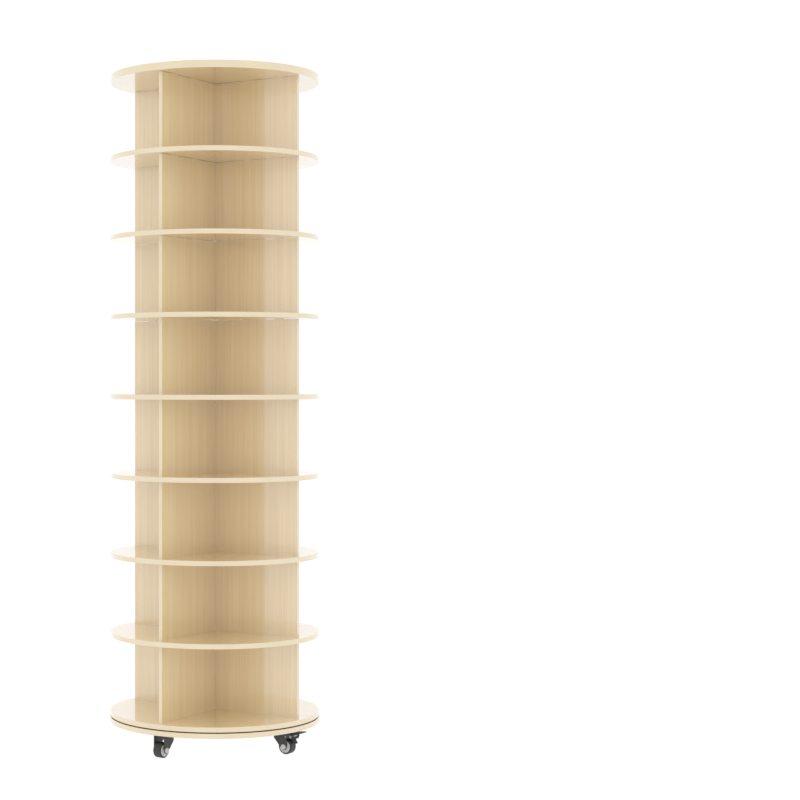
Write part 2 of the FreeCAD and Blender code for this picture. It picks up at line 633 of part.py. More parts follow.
def bearing_ball_cage():
    """The plastic ring that keeps the balls apart, with a hole for each."""
    piece = new_body("bearing_ball_cage", z=BEARING_BOTTOM)
    section = sketch_on(piece, "cage_section", "XZ_Plane")
    middle = f"({BEARING_HEIGHT} / 2)"
    inner = f"({RACE_RADIUS} - cage_thickness / 2)"
    outer = f"({RACE_RADIUS} + cage_thickness / 2)"
    rectangle(section, inner, f"{middle} - cage_height / 2", outer, f"{middle} + cage_height / 2")
    revolve(piece, "cage_ring", section, "V_Axis")
    mouth = sketch_on(piece, "cage_hole_mouth", "YZ_Plane")
    circle(mouth, "0", middle, f"{BEARING_BALL_RADIUS} + cage_play")
    hole = pocket(piece, "cage_hole", mouth, f"{RACE_RADIUS} + cage_thickness", upward=True)
    polar(piece, "cage_holes", [hole], "bearing_ball_count")


def bearing_screws(label, ring, height, down):
    """Four countersunk screws of the bearing, with their heads flush in a flange."""
    piece = new_body(label, z=height, turn="bearing_screw_angle")
    cone_height = "(bearing_screw_head - bearing_screw_diameter) / 2"
    head_radius = "bearing_screw_head / 2"
    radius = "bearing_screw_diameter / 2"
    if down:
        cone = {"Radius1": radius, "Radius2": head_radius, "Height": cone_height}
        head = primitive(piece, "AdditiveCone", f"{label}_cone", ring, "0", f"-({cone_height})", cone)
        shank_bottom = "-bearing_screw_length"
    else:
        cone = {"Radius1": head_radius, "Radius2": radius, "Height": cone_height}
        head = primitive(piece, "AdditiveCone", f"{label}_cone", ring, "0", "0", cone)
        shank_bottom = "0"
    sizes = {"Radius": radius, "Height": "bearing_screw_length"}
    shank = primitive(piece, "AdditiveCylinder", f"{label}_shank", ring, "0", shank_bottom, sizes)
    polar(piece, f"{label}_four", [head, shank], "4")


# Casters: what is fixed to the base disc. The first of each four stands on the X axis.

def caster_plates():
    """The square mounting plates with their race bosses and countersunk kingpin holes."""
    piece = new_body("caster_plates", turn="-caster_turn")
    half = "(plate_width / 2)"
    flat = "(plate_width / 2 - plate_corner)"
    plan = sketch_on(piece, "plate_plan", "XY_Plane", offset=PLATE_BOTTOM, shift=KINGPIN_RING)
    outline(plan, [
        (f"-{flat}", f"-{half}"),
        (flat, f"-{half}", (flat, f"-{flat}", "plate_corner")),
        (half, f"-{flat}"),
        (half, flat, (flat, flat, "plate_corner")),
        (flat, half),
        (f"-{flat}", half, (f"-{flat}", flat, "plate_corner")),
        (f"-{half}", flat),
        (f"-{half}", f"-{flat}", (f"-{flat}", f"-{flat}", "plate_corner")),
    ])
    plate = pad(piece, "plate_sheet", plan, "plate_thickness")
    mouths = sketch_on(piece, "plate_screw_mouths", "XY_Plane", offset=PLATE_BOTTOM)
    caster_screw_circles(mouths, "caster_screw_diameter / 2 + screw_clearance")
    holes = pocket(piece, "plate_screw_holes", mouths, "plate_thickness", upward=True)
    at = (KINGPIN_RING, "0")
    boss = primitive(piece, "AdditiveCylinder", "plate_boss", *at, PLATE_BOSS_BOTTOM, {
        "Radius": "race_boss_radius", "Height": "plate_boss_height"})
    groove = primitive(piece, "SubtractiveTorus", "plate_groove", *at, SWIVEL_BALL_HEIGHT, {
        "Radius1": "swivel_ball_ring", "Radius2": "swivel_ball_diameter / 2 + race_clearance"})
    bore = primitive(piece, "SubtractiveCylinder", "plate_bore", *at, PLATE_BOSS_BOTTOM, {
        "Radius": "kingpin_diameter / 2 + screw_clearance", "Height": "plate_boss_height + plate_thickness"})
    cone_height = "((kingpin_head - kingpin_diameter) / 2)"
    sink = primitive(piece, "SubtractiveCone", "plate_sink", *at, f"caster_height - {cone_height}", {
        "Radius1": "kingpin_diameter / 2 + screw_clearance", "Radius2": "kingpin_head / 2 + screw_clearance",
        "Height": cone_height})
    polar(piece, "four_plates", [plate, holes, boss, groove, bore, sink], "4")


def caster_screws():
    """Pan-head screws up through the plates into the base disc."""
    piece = new_body("caster_screws", turn="-caster_turn")
    under = f"{PLATE_BOTTOM} - caster_screw_head_height"
    head_sketch = sketch_on(piece, "caster_screw_head_circles", "XY_Plane", offset=under)
    caster_screw_circles(head_sketch, "caster_screw_head / 2")
    heads = pad(piece, "caster_screw_heads", head_sketch, "caster_screw_head_height")
    shank_sketch = sketch_on(piece, "caster_screw_shank_circles", "XY_Plane", offset=under)
    caster_screw_circles(shank_sketch, "caster_screw_diameter / 2")
    length = "caster_screw_head_height + plate_thickness + caster_screw_grip"
    shanks = pad(piece, "caster_screw_shanks", shank_sketch, length)
    polar(piece, "four_screw_sets", [heads, shanks], "4")


def caster_kingpins():
    """Countersunk kingpins and the nuts that hold the forks on them, as separate solids."""
    piece = new_body("caster_kingpins", turn="-caster_turn")
    at = (KINGPIN_RING, "0")
    nut_bottom = f"({CROWN_BOTTOM} - kingpin_play - nut_height)"
    nut = primitive(piece, "AdditivePrism", "kingpin_nut", *at, nut_bottom, {
        "Circumradius": "nut_width / sqrt(3)", "Height": "nut_height"})
    nut.Polygon = 6
    bore = primitive(piece, "SubtractiveCylinder", "kingpin_nut_bore", *at, nut_bottom, {
        "Radius": "kingpin_diameter / 2 + screw_clearance", "Height": "nut_height"})
    shank = primitive(piece, "AdditiveCylinder", "kingpin_shank", *at, nut_bottom, {
        "Radius": "kingpin_diameter / 2", "Height": f"caster_height - {nut_bottom}"})
    cone_height = "((kingpin_head - kingpin_diameter) / 2)"
    head = primitive(piece, "AdditiveCone", "kingpin_cone", *at, f"caster_height - {cone_height}", {
        "Radius1": "kingpin_diameter / 2", "Radius2": "kingpin_head / 2", "Height": cone_height})
    polar(piece, "four_kingpins", [nut, bore, shank, head], "4")


def caster_swivel_balls():
    """The ring of balls between each plate and its fork."""
    piece = new_body("caster_swivel_balls", turn="-caster_turn")
    centre = sketch_on(piece, "swivel_axis", "XY_Plane", shift=KINGPIN_RING)
    first = (f"{KINGPIN_RING} + swivel_ball_ring", "0", SWIVEL_BALL_HEIGHT)
    ball = primitive(piece, "AdditiveSphere", "swivel_ball", *first, {"Radius": "swivel_ball_diameter / 2"})
    around_pin = document.addObject("PartDesign::PolarPattern", "balls_round_one_kingpin")
    around_pin.Axis = (centre, ["N_Axis"])
    around_pin.Angle = 360
    bind(around_pin, "Occurrences", "swivel_ball_count")
    casters = document.addObject("PartDesign::PolarPattern", "balls_of_four_casters")
    casters.Axis = (origin_feature(piece, "Z_Axis"), [""])
    casters.Angle = 360
    casters.Occurrences = 4
    pattern = piece.newObject("PartDesign::MultiTransform", "all_swivel_balls")
    pattern.Originals = [ball]
    pattern.Transformations = [around_pin, casters]
    piece.Tip = pattern


# Casters: what swivels, rolls and brakes. Caster 1 is at the front, 2 right, 3 back and 4 left.

BRAKED = (2, 4)


def caster_body(label, caster, reach="0", height="0"):
    """A body of one caster, placed at a reach from its kingpin along its own x axis."""
    angle = f"({90 * caster - 180} - caster_turn)"
    x, y = turned(f"{KINGPIN_RING} + {reach}", "0", angle)
    return new_body(label, x=x, y=y, z=height, turn=angle)


def leg_waste(braked):
    """Outline, seen from the side, of what is cut away below and beyond a fork's legs."""
    foot_x = "(caster_trail - fork_boss * sin(fork_slope))"
    foot_z = f"({WHEEL_RADIUS} - fork_boss * cos(fork_slope))"
    shoulder_z = f"({foot_z} + (fork_back + {foot_x}) * tan(fork_slope))"
    lowest = f"({WHEEL_RADIUS} - fork_boss - fork_thickness)"
    behind = "-(fork_back + fork_thickness)"
    beyond = f"({EAR_REACH} + fork_thickness)"
    boss = ("caster_trail", WHEEL_RADIUS, "fork_boss")
    corners = [
        (behind, shoulder_z),
        ("-fork_back", shoulder_z),
        (foot_x, foot_z, boss),
        ("caster_trail", f"{WHEEL_RADIUS} - fork_boss", boss),
    ]
    if braked:
        ear = ("brake_pin_reach", BRAKE_PIN_HEIGHT, "ear_radius")
        corners += [
            (FORK_FRONT, WHEEL_RADIUS),
            (FORK_FRONT, f"{BRAKE_PIN_HEIGHT} - ear_radius"),
            ("brake_pin_reach", f"{BRAKE_PIN_HEIGHT} - ear_radius", ear),
            (EAR_REACH, BRAKE_PIN_HEIGHT),
            (EAR_REACH, f"{BRAKE_PIN_HEIGHT} + ear_rise"),
            (FORK_FRONT, CROWN_TOP),
            (FORK_FRONT, f"{CROWN_TOP} + fork_thickness"),
            (beyond, f"{CROWN_TOP} + fork_thickness"),
        ]
    else:
        corners += [
            (FORK_FRONT, WHEEL_RADIUS),
            (beyond, WHEEL_RADIUS),
        ]
    return corners + [(beyond, lowest), (behind, lowest)]


def caster_fork(caster, braked):
    """A bent sheet fork: a U section cut to its side view, with a race boss, bores and, braked, ears."""
    label = f"caster_fork_{caster}"
    piece = caster_body(label, caster)
    half = "(fork_width / 2)"
    bend_y = "(fork_width / 2 - fork_bend)"
    bend_z = f"({CROWN_TOP} - fork_bend)"
    low = f"({WHEEL_RADIUS} - fork_boss)"
    outer = "fork_bend"
    inner = "fork_bend - fork_thickness"
    section = sketch_on(piece, f"{label}_section", "YZ_Plane", offset="-fork_back")
    outline(section, [
        (f"-{half}", low),
        (f"-{half}", bend_z, (f"-{bend_y}", bend_z, outer)),
        (f"-{bend_y}", CROWN_TOP),
        (bend_y, CROWN_TOP, (bend_y, bend_z, outer)),
        (half, bend_z),
        (half, low),
        (FORK_INSIDE, low),
        (FORK_INSIDE, bend_z, (bend_y, bend_z, inner)),
        (bend_y, CROWN_BOTTOM),
        (f"-{bend_y}", CROWN_BOTTOM, (f"-{bend_y}", bend_z, inner)),
        (f"-{FORK_INSIDE}", bend_z),
        (f"-{FORK_INSIDE}", low),
    ])
    front = EAR_REACH if braked else FORK_FRONT
    pad(piece, f"{label}_channel", section, f"fork_back + {front}")
    waste = sketch_on(piece, f"{label}_waste_side", "XZ_Plane")
    outline(waste, leg_waste(braked))
    pocket(piece, f"{label}_waste", waste, "2 * fork_width", symmetric=True)
    if braked:
        notch = sketch_on(piece, f"{label}_notch_plan", "XY_Plane", offset=f"{CROWN_TOP} + fork_thickness")
        rectangle(notch, FORK_FRONT, f"-{FORK_INSIDE}", f"{EAR_REACH} + fork_thickness", FORK_INSIDE)
        pocket(piece, f"{label}_notch", notch, "fork_bend + 2 * fork_thickness")
    primitive(piece, "AdditiveCylinder", f"{label}_boss", "0", "0", CROWN_TOP, {
        "Radius": "race_boss_radius", "Height": "fork_boss_height"})
    primitive(piece, "SubtractiveTorus", f"{label}_groove", "0", "0", SWIVEL_BALL_HEIGHT, {
        "Radius1": "swivel_ball_ring", "Radius2": "swivel_ball_diameter / 2 + race_clearance"})
    primitive(piece, "SubtractiveCylinder", f"{label}_bore", "0", "0", CROWN_BOTTOM, {
        "Radius": "kingpin_diameter / 2 + running_clearance", "Height": "fork_thickness + fork_boss_height"})
    bores = sketch_on(piece, f"{label}_pin_circles", "XZ_Plane")
    circle(bores, "caster_trail", WHEEL_RADIUS, "axle_diameter / 2 + screw_clearance")
    if braked:
        circle(bores, "brake_pin_reach", BRAKE_PIN_HEIGHT, "brake_pin_diameter / 2 + screw_clearance")
    holes = pocket(piece, f"{label}_pin_holes", bores, "2 * fork_width", symmetric=True)
    piece.Tip = holes


def headed_pin(piece, name, diameter, head, head_thickness):
    """A round pin across a fork, with a rounded cap against the outside of each leg."""
    grip = "(fork_width / 2)"
    end = f"({grip} + {head_thickness})"
    radius = f"({diameter} / 2)"
    head_radius = f"({head} / 2)"
    flat = f"({head_radius} - cap_round)"
    inside = f"({end} - cap_round)"
    section = sketch_on(piece, f"{name}_section", "YZ_Plane")
    outline(section, [
        (f"-{end}", "0"),
        (f"-{end}", flat, (f"-{inside}", flat, "cap_round")),
        (f"-{inside}", head_radius),
        (f"-{grip}", head_radius),
        (f"-{grip}", radius),
        (grip, radius),
        (grip, head_radius),
        (inside, head_radius, (inside, flat, "cap_round")),
        (end, flat),
        (end, "0"),
    ])
    revolve(piece, f"{name}_turned", section, "H_Axis")


def caster_axle(caster):
    """The axle of one wheel, with its two round caps."""
    label = f"caster_axle_{caster}"
    piece = caster_body(label, caster, "caster_trail", WHEEL_RADIUS)
    headed_pin(piece, label, "axle_diameter", "axle_cap_diameter", "axle_cap_thickness")


def brake_pin(caster):
    """The pin that a brake lever turns on."""
    label = f"brake_pin_{caster}"
    piece = caster_body(label, caster, "brake_pin_reach", BRAKE_PIN_HEIGHT)
    headed_pin(piece, label, "brake_pin_diameter", "brake_pin_head", "brake_pin_head_thickness")


def caster_hub(caster):
    """A wheel's hub: bore, central boss, a groove in each side and the rim."""
    label = f"caster_hub_{caster}"
    piece = caster_body(label, caster, "caster_trail", WHEEL_RADIUS)
    bore = "(axle_diameter / 2 + running_clearance)"
    boss_radius = "(hub_boss_diameter / 2)"
    rim_radius = "(hub_diameter / 2)"
    groove_radius = "(hub_diameter / 2 - hub_rim_thickness)"
    boss_half = f"({FORK_INSIDE} - hub_side_play)"
    half = [
        (boss_half, bore),
        (boss_half, boss_radius),
        ("(hub_web_width / 2)", boss_radius),
        ("(hub_web_width / 2)", groove_radius),
        ("(hub_rim_width / 2)", groove_radius),
        ("(hub_rim_width / 2)", rim_radius),
    ]
    mirrored = [(f"-{axial}", radial) for axial, radial in reversed(half)]
    section = sketch_on(piece, f"{label}_section", "YZ_Plane")
    outline(section, half + mirrored)
    revolve(piece, f"{label}_turned", section, "H_Axis")


def caster_tyre(caster):
    """A wheel's tyre, rounded at its shoulders."""
    label = f"caster_tyre_{caster}"
    piece = caster_body(label, caster, "caster_trail", WHEEL_RADIUS)
    half = "(tyre_width / 2)"
    flat = "(tyre_width / 2 - tyre_shoulder)"
    inner = "(hub_diameter / 2 + screw_clearance)"
    side = f"({WHEEL_RADIUS} - tyre_shoulder)"
    section = sketch_on(piece, f"{label}_section", "YZ_Plane")
    outline(section, [
        (f"-{half}", inner),
        (f"-{half}", side, (f"-{flat}", side, "tyre_shoulder")),
        (f"-{flat}", WHEEL_RADIUS),
        (flat, WHEEL_RADIUS, (flat, side, "tyre_shoulder")),
        (half, side),
        (half, inner),
    ])
    revolve(piece, f"{label}_turned", section, "H_Axis")


def brake_lever(caster):
    """A foot lever in its released pose: neck, block with room for a spring, pedal and shoe rib.

    The shoe's face is the tyre's circle, a little larger and turned back by the lever's travel.
    """
    label = f"brake_lever_{caster}"
    piece = caster_body(label, caster)
    inner_width = f"2 * ({FORK_INSIDE} - lever_side_play)"
    pin = ("brake_pin_reach", BRAKE_PIN_HEIGHT)
    root_z = "(caster_height - pedal_root_drop)"
    tip_z = "(caster_height - pedal_tip_drop)"
    rise = f"(({tip_z} - {root_z}) / (pedal_reach - pedal_root_reach))"
    flare_z = f"({root_z} + (pedal_flare_reach - pedal_root_reach) * {rise})"
    neck = sketch_on(piece, f"{label}_neck_side", "XZ_Plane")
    outline(neck, [
        ("(brake_pin_reach - lever_neck / 2)", BRAKE_PIN_HEIGHT),
        ("(brake_pin_reach + lever_neck / 2)", BRAKE_PIN_HEIGHT),
        ("(brake_pin_reach + lever_neck / 2)", f"{root_z} - pedal_thickness"),
        ("pedal_flare_reach", f"{flare_z} - pedal_thickness"),
        ("pedal_flare_reach", flare_z),
        ("pedal_root_reach", root_z),
    ])
    pad(piece, f"{label}_neck", neck, inner_width, symmetric=True)

    block = sketch_on(piece, f"{label}_block_side", "XZ_Plane")
    round_x = "(block_reach - block_round)"
    round_z = f"({BRAKE_PIN_HEIGHT} - block_drop + block_round)"
    outline(block, [
        ("(brake_pin_reach - block_back)", f"{BRAKE_PIN_HEIGHT} - block_drop"),
        (round_x, f"{BRAKE_PIN_HEIGHT} - block_drop", (round_x, round_z, "block_round")),
        ("block_reach", round_z),
        ("block_reach", f"{flare_z} - pedal_thickness / 2"),
        ("(brake_pin_reach - block_back)", f"{root_z} - pedal_thickness"),
    ])
    pad(piece, f"{label}_block", block, inner_width, symmetric=True)

    round_end = sketch_on(piece, f"{label}_barrel_circle", "XZ_Plane")
    circle(round_end, *pin, "lever_barrel_radius")
    pad(piece, f"{label}_barrel", round_end, inner_width, symmetric=True)

    plate = sketch_on(piece, f"{label}_pedal_side", "XZ_Plane")
    outline(plate, [
        ("pedal_flare_reach", f"{flare_z} - pedal_thickness"),
        ("pedal_reach", f"{tip_z} - pedal_thickness"),
        ("pedal_reach", tip_z),
        ("pedal_flare_reach", flare_z),
    ])
    pad(piece, f"{label}_pedal", plate, "pedal_width", symmetric=True)

    swing_x, swing_z = turned(
        "caster_trail - brake_pin_reach", f"{WHEEL_RADIUS} - {BRAKE_PIN_HEIGHT}", "brake_travel")
    centre_x = f"(brake_pin_reach + {swing_x})"
    centre_z = f"({BRAKE_PIN_HEIGHT} + {swing_z})"
    face_radius = f"({WHEEL_RADIUS} + brake_clearance)"
    first_x, first_z = turned(face_radius, "0", "shoe_first_angle")
    last_x, last_z = turned(face_radius, "0", "shoe_last_angle")
    shoe = sketch_on(piece, f"{label}_shoe_side", "XZ_Plane")
    outline(shoe, [
        pin,
        (f"{centre_x} + {first_x}", f"{centre_z} + {first_z}", (centre_x, centre_z, face_radius)),
        (f"{centre_x} + {last_x}", f"{centre_z} + {last_z}"),
        ("claw_reach", f"{BRAKE_PIN_HEIGHT} - claw_drop"),
        (round_x, f"{BRAKE_PIN_HEIGHT} - block_drop"),
        (round_x, BRAKE_PIN_HEIGHT),
    ])
    pad(piece, f"{label}_shoe", shoe, "shoe_width", symmetric=True)

    room = sketch_on(piece, f"{label}_spring_circle", "XZ_Plane")
    circle(room, *pin, "spring_room_radius")
    pocket(piece, f"{label}_spring_room", room, "spring_room_width", symmetric=True)
    window = sketch_on(piece, f"{label}_window_front", "YZ_Plane", offset="block_reach")
    half = "(spring_room_width / 2)"
    rectangle(window, f"-{half}", f"{BRAKE_PIN_HEIGHT} - window_drop",
              half, f"{BRAKE_PIN_HEIGHT} + window_rise")
    pocket(piece, f"{label}_window", window, "block_reach - brake_pin_reach")

    bore = sketch_on(piece, f"{label}_bore_circle", "XZ_Plane")
    circle(bore, *pin, "brake_pin_diameter / 2 + running_clearance")
    drilled = pocket(piece, f"{label}_bore", bore, "2 * pedal_width", symmetric=True)
    reach = value("pedal_reach")
    fillet(piece, f"{label}_tip_rounding", drilled, "pedal_thickness / 3",
           lambda edge: all(abs(vertex.X - reach) < 0.01 for vertex in edge.Vertexes))


# Assembly

base_disc()
base_edge_band()
turning_disc()
for shelf in range(1, round(value("tier_count"))):
    shelf_disc(shelf)
top_disc()
disc_edge_bands()
for tier in range(round(value("tier_count"))):
    cross(tier)
divider_edge_bands()
shelf_screws()
bearing_rings()
bearing_balls()
bearing_ball_cage()
bearing_screws("bearing_screws_lower", OUTER_SCREW_RING, f"{BEARING_BOTTOM} + bearing_flange", down=True)
bearing_screws("bearing_screws_upper", INNER_SCREW_RING,
               f"{BEARING_BOTTOM} + {BEARING_HEIGHT} - bearing_flange", down=False)
caster_plates()
caster_screws()
caster_kingpins()
caster_swivel_balls()
for number in (1, 2, 3, 4):
    has_brake = number in BRAKED
    caster_fork(number, has_brake)
    caster_axle(number)
    caster_hub(number)
    caster_tyre(number)
    if has_brake:
        brake_pin(number)
        brake_lever(number)
document.recompute()

# Check every object, then write each body to its own file.
for item in document.Objects:
    if "Invalid" in item.State or "Error" in item.State:
        raise RuntimeError(f"{item.Label} failed: {item.State}")

bodies = [item for item in document.Objects if item.TypeId == "PartDesign::Body"]
os.makedirs("parts", exist_ok=True)
for piece in bodies:
    if piece.Shape.isNull() or not piece.Shape.isValid():
        raise RuntimeError(f"{piece.Label} has no valid shape")
for piece in bodies:
    piece.Shape.exportStep(f"parts/{piece.Label}.step")
    print(piece.Label, len(piece.Shape.Solids), "solids", round(piece.Shape.Volume / 1000, 2), "cm3")
print(len(bodies), "pieces")
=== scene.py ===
import math

import bmesh
import bpy
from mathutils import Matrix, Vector


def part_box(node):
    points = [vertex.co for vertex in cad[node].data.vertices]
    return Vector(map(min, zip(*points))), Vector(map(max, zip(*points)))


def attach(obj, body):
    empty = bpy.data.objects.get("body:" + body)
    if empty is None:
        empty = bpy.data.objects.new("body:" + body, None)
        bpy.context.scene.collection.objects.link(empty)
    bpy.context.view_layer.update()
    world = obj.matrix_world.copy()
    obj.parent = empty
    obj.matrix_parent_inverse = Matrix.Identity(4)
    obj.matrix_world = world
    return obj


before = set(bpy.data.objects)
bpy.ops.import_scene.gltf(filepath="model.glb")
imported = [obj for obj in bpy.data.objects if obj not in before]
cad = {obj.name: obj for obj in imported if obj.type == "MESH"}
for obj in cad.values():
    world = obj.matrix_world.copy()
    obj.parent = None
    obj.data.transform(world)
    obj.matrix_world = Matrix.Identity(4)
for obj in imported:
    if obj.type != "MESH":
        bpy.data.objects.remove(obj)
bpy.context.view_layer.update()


# The studio: a white room without corners or shadows, whose ceiling is a little brighter
# than its walls. The camera stands level at chest height, 4.7 m away and to the right of
# the rack's front, and its frame holds the rack in its left part.

CAMERA_TURN = math.radians(32.7)
CAMERA_DISTANCE = 4.67
CAMERA_HEIGHT = 0.9095
LENS_LENGTH = 84.0
SENSOR_WIDTH = 36.0
SHIFT_SIDEWAYS = 0.2315
SHIFT_UPWARD = -0.0253
WALL_BRIGHTNESS = 1.0
CEILING_BRIGHTNESS = 1.36
WHITE = (1.0, 1.0, 1.0, 1.0)
NODE_WIDTH = 200
NODE_HEIGHT = 160


def put(tree, kind, column, **settings):
    """Puts a shader node into a column of the sheet, below those already there."""
    node = tree.nodes.new(kind)
    node.location = (column * NODE_WIDTH, -len(tree.nodes) * NODE_HEIGHT)
    for name, value in settings.items():
        setattr(node, name, value)
    return node


def join(tree, output, node, socket):
    """Joins an output to one socket of a node."""
    tree.links.new(output, node.inputs[socket])


def spread(tree, value, low, high, to_low=0.0, to_high=1.0):
    """Maps low..high of a value to another range, and holds it there."""
    node = put(tree, "ShaderNodeMapRange", 3)
    node.inputs["From Min"].default_value = low
    node.inputs["From Max"].default_value = high
    node.inputs["To Min"].default_value = to_low
    node.inputs["To Max"].default_value = to_high
    join(tree, value, node, "Value")
    return node.outputs[0]


camera_data = bpy.data.cameras.new("camera")
camera_data.lens = LENS_LENGTH
camera_data.sensor_width = SENSOR_WIDTH
camera_data.shift_x = SHIFT_SIDEWAYS
camera_data.shift_y = SHIFT_UPWARD
camera = bpy.data.objects.new("camera", camera_data)
camera.location = (
    CAMERA_DISTANCE * math.sin(CAMERA_TURN),
    -CAMERA_DISTANCE * math.cos(CAMERA_TURN),
    CAMERA_HEIGHT,
)
camera.rotation_euler = (math.radians(90), 0, CAMERA_TURN)
bpy.context.scene.collection.objects.link(camera)
bpy.context.scene.camera = camera
bpy.context.scene.view_settings.view_transform = "Standard"

room = bpy.data.worlds.new("white room")
room.use_nodes = True
bpy.context.scene.world = room
sky = room.node_tree
room_light = sky.nodes["Background"]
room_light.inputs["Color"].default_value = WHITE
direction = put(sky, "ShaderNodeTexCoord", 0)
axes = put(sky, "ShaderNodeSeparateXYZ", 1)
join(sky, direction.outputs["Generated"], axes, 0)
# The room has its walls' brightness up to the horizon, and grows brighter to the zenith.
brightness = spread(sky, axes.outputs["Z"], 0.0, 1.0, WALL_BRIGHTNESS, CEILING_BRIGHTNESS)
join(sky, brightness, room_light, "Strength")


# The floor: a wide sheet of matt acrylic, lit from below, so that it is as bright as the
# room. Its own surface throws little light back, so only a breath of shadow shows on it.

FLOOR_HALF_WIDTH = 60.0
FLOOR_GLOW = 0.95
FLOOR_DEEP = (0.055, 0.055, 0.055)
FLOOR_PALE = (0.065, 0.065, 0.065)
FLOOR_CLOUDS_PER_METRE = (6.0, 6.0, 6.0)
FLOOR_GRIT_PER_METRE = (900.0, 900.0, 900.0)
FLOOR_SMOOTHEST = 0.7
FLOOR_ROUGHEST = 0.8
FLOOR_SHINE = 0.2
# Smooth noise runs from 0 to 1 about its middle, and most of it lies between low and high.
NOISE_LOW = 0.3
NOISE_MIDDLE = 0.5
NOISE_HIGH = 0.7
# A mix node keeps its sockets for colours behind those for numbers and vectors.
FIRST_COLOUR = 6
SECOND_COLOUR = 7
MIXED_COLOUR = 2


def calc(tree, operation, *terms):
    """A sum of shader values. Each term is a number or another node's output."""
    node = put(tree, "ShaderNodeMath", 2, operation=operation)
    for socket, term in enumerate(terms):
        if isinstance(term, (int, float)):
            node.inputs[socket].default_value = term
        else:
            join(tree, term, node, socket)
    return node.outputs[0]


def noise(tree, position, per_metre, detail=2.0):
    """Smooth noise with so many lumps to the metre along each axis."""
    stretched = put(tree, "ShaderNodeVectorMath", 0, operation="MULTIPLY")
    join(tree, position, stretched, 0)
    stretched.inputs[1].default_value = per_metre
    cloud = put(tree, "ShaderNodeTexNoise", 1)
    join(tree, stretched.outputs[0], cloud, "Vector")
    cloud.inputs["Scale"].default_value = 1.0
    cloud.inputs["Detail"].default_value = detail
    return cloud.outputs[0]


def blend_colours(tree, amount, first, second):
    """A colour between two, each of them a colour or another node's output."""
    node = put(tree, "ShaderNodeMix", 4, data_type="RGBA")
    join(tree, amount, node, 0)
    for socket, colour in ((FIRST_COLOUR, first), (SECOND_COLOUR, second)):
        if isinstance(colour, tuple):
            node.inputs[socket].default_value = (*colour, 1.0)
        else:
            join(tree, colour, node, socket)
    return node.outputs[MIXED_COLOUR]


def new_material(name):
    """A material with its own shader and the object's position to work from."""
    material = bpy.data.materials.new(name)
    material.use_nodes = True
    tree = material.node_tree
    shader = tree.nodes["Principled BSDF"]
    shader.location = (6 * NODE_WIDTH, 0)
    tree.nodes["Material Output"].location = (8 * NODE_WIDTH, 0)
    position = put(tree, "ShaderNodeTexCoord", -2).outputs["Object"]
    return material, tree, shader, position


def raise_surface(tree, shader, height, distance, strength=1.0):
    """Turns a height into the small relief that the light catches."""
    bump = put(tree, "ShaderNodeBump", 5)
    bump.inputs["Distance"].default_value = distance
    bump.inputs["Strength"].default_value = strength
    join(tree, height, bump, "Height")
    join(tree, bump.outputs["Normal"], shader, "Normal")


floor_mesh = bpy.data.meshes.new("studio_floor")
edge = FLOOR_HALF_WIDTH
floor_mesh.from_pydata(
    [(-edge, -edge, 0), (edge, -edge, 0), (edge, edge, 0), (-edge, edge, 0)],
    [],
    [(0, 1, 2, 3)],
)
floor = bpy.data.objects.new("studio_floor", floor_mesh)
bpy.context.scene.collection.objects.link(floor)
material, tree, shader, position = new_material("white acrylic light table")
clouds = noise(tree, position, FLOOR_CLOUDS_PER_METRE, detail=3.0)
grit = noise(tree, position, FLOOR_GRIT_PER_METRE)
join(tree, blend_colours(tree, clouds, FLOOR_DEEP, FLOOR_PALE), shader, "Base Color")
rough = spread(tree, clouds, NOISE_LOW, NOISE_HIGH, FLOOR_SMOOTHEST, FLOOR_ROUGHEST)
join(tree, rough, shader, "Roughness")
shader.inputs["Specular IOR Level"].default_value = FLOOR_SHINE
shader.inputs["Emission Color"].default_value = WHITE
shader.inputs["Emission Strength"].default_value = FLOOR_GLOW
raise_surface(tree, shader, grit, distance=0.0001, strength=0.3)
floor_mesh.materials.append(material)


# The base disc: 12 mm particle board, faced on both sides with glossy maple laminate.
# It stands still on the casters, and the tower turns on it.

MAPLE_PALE = (0.812, 0.657, 0.388)
MAPLE_LINE = (0.728, 0.554, 0.292)
MAPLE_SMOOTHEST = 0.16
MAPLE_ROUGHEST = 0.26
MAPLE_IOR = 1.8
VARNISH_ROUGHNESS = 0.06
VARNISH_IOR = 2.25
DISC_CLEARNESS = 0.8

# The printed maple: growth lines about 3 mm apart, softer streaks behind them, the finest
# fibres and scattered pores, each as lumps to the metre across, into and along the board.
LINES_PER_METRE = (300.0, 300.0, 2.4)
STREAKS_PER_METRE = (42.0, 42.0, 0.7)
FIBRES_PER_METRE = (1100.0, 1100.0, 12.0)
PORES_PER_METRE = (1500.0, 1500.0, 110.0)
LINE_STRENGTH = 1.5
STREAK_STRENGTH = 1.1
FIBRE_STRENGTH = 0.8
TONE_REACH = 0.5
PORE_RIM = 0.66
PORE_HEART = 0.74
PORE_DARKNESS = 0.35

# The print starts at another place on each tier's boards, so that no two are alike.
LOWEST_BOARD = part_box("turning_disc")[0].z
TIER_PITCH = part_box("shelf_disc_2")[0].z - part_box("shelf_disc_1")[0].z
PRINT_STEP_ACROSS = 0.731
PRINT_STEP_ALONG = 1.37

FLOAT = "NodeSocketFloat"
COLOUR = "NodeSocketColor"
PLACE = "NodeSocketVector"


def sockets(group, inputs, outputs):
    """Gives a node group its named inputs and outputs."""
    for name, kind, value in inputs:
        socket = group.interface.new_socket(name, in_out="INPUT", socket_type=kind)
        if value is not None:
            socket.default_value = value
    for name, kind in outputs:
        group.interface.new_socket(name, in_out="OUTPUT", socket_type=kind)
    return put(group, "NodeGroupInput", -3), put(group, "NodeGroupOutput", 7)


